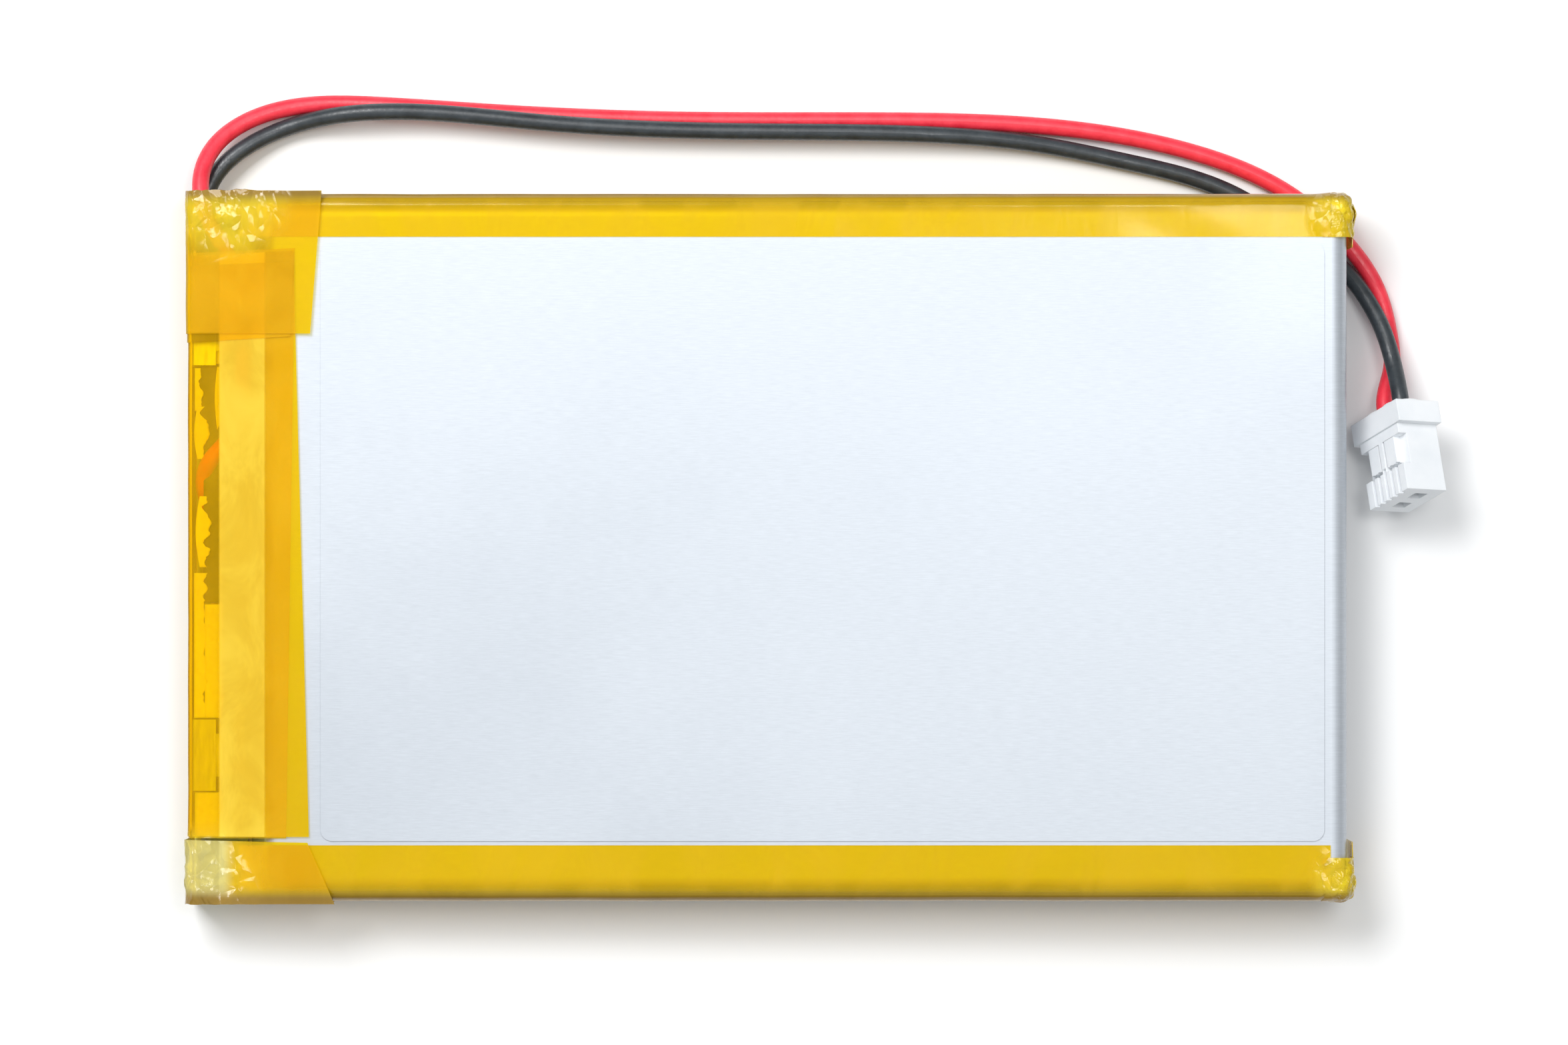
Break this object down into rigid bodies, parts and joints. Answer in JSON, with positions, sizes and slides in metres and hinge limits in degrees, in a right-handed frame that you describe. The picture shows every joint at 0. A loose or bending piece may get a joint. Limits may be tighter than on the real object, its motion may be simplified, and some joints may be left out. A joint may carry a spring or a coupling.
{
  "type": "battery pack",
  "caption": "Lithium-polymer pouch battery pack with a film-wrapped protection board and a two-wire lead ending in a small crimp plug.",
  "frame": {"origin": "centre of the back face, on the flat land the electrode stack presses out", "axes": "+X from the board end to the folded end, +Y towards the side where the lead runs, +Z from the back face to the cup face"},
  "size_m": [0.0886, 0.0571, 0.0079],
  "materials": {
    "laminate": "satin",
    "film": "gloss",
    "copper_sheet": "matte",
    "cathode": "matte",
    "separator": "matte",
    "stack_tape": "satin",
    "copper_foil": "satin",
    "aluminium_foil": "satin",
    "nickel": "satin",
    "aluminium_tab": "satin",
    "sealant": "satin",
    "board": "satin",
    "package": "matte",
    "chip_part": "matte",
    "solder": "gloss",
    "paper": "matte",
    "foam": "matte",
    "red_pvc": "satin",
    "black_pvc": "satin",
    "copper_strand": "gloss",
    "nylon": "satin",
    "tin_brass": "gloss"
  },
  "bodies": {
    "pack": {"pouch_cup": "laminate", "pouch_cover": "laminate", "anode_sheets": "copper_sheet", "cathode_sheets": "cathode", "separator": "separator", "stack_tape": "stack_tape", "positive_collector_tails": "aluminium_foil", "negative_collector_tails": "copper_foil", "positive_tab": "aluminium_tab", "negative_tab": "nickel", "nickel_strip_positive": "nickel", "nickel_strip_negative": "nickel", "positive_tab_sealant": "sealant", "negative_tab_sealant": "sealant", "pcm_board": "board", "mosfet_pair": "package", "protection_ic": "package", "chip_resistors": "chip_part", "chip_capacitor": "chip_part", "solder_joints": "solder", "insulating_paper": "paper", "board_pad": "foam", "side_tape_upper": "film", "side_tape_lower": "film", "head_tape_inner": "film", "head_tape_outer": "film", "head_patch": "film", "corner_tape_upper": "film", "corner_tape_lower": "film", "red_jacket_in_head": "red_pvc", "black_jacket_in_head": "black_pvc", "copper_in_head": "copper_strand", "red_jacket_exit_bend": "red_pvc", "black_jacket_exit_bend": "black_pvc", "copper_exit_bend": "copper_strand"},
    "lead_near": {"red_jacket_near": "red_pvc", "black_jacket_near": "black_pvc", "copper_near": "copper_strand", "red_jacket_mid_bend": "red_pvc", "black_jacket_mid_bend": "black_pvc", "copper_mid_bend": "copper_strand"},
    "lead_far": {"red_jacket_far": "red_pvc", "black_jacket_far": "black_pvc", "copper_far": "copper_strand", "red_jacket_plug_bend": "red_pvc", "black_jacket_plug_bend": "black_pvc", "copper_plug_bend": "copper_strand"},
    "plug": {"plug_housing": "nylon", "contact_positive": "tin_brass", "contact_negative": "tin_brass", "red_jacket_at_plug": "red_pvc", "black_jacket_at_plug": "black_pvc", "copper_at_plug": "copper_strand"}
  },
  "joints": [
    {"name": "lead_exit_bend", "type": "hinge", "parent": "pack", "child": "lead_near", "pos_m": [-0.0395, 0.0267, 0.0018], "axis": [0, 0, 1], "range_deg": [0, 100], "deforming": ["red_jacket_exit_bend", "black_jacket_exit_bend", "copper_exit_bend"]},
    {"name": "lead_mid_bend", "type": "hinge", "parent": "lead_near", "child": "lead_far", "pos_m": [0, 0.02995, -0.0002], "axis": [0, 0, 1], "range_deg": [0, 80], "deforming": ["red_jacket_mid_bend", "black_jacket_mid_bend", "copper_mid_bend"]},
    {"name": "plug_bend", "type": "hinge", "parent": "lead_far", "child": "plug", "pos_m": [0.04452, 0.0122, 0.0005], "axis": [0, 0, 1], "range_deg": [-6, 60], "deforming": ["red_jacket_plug_bend", "black_jacket_plug_bend", "copper_plug_bend"]}
  ]
}
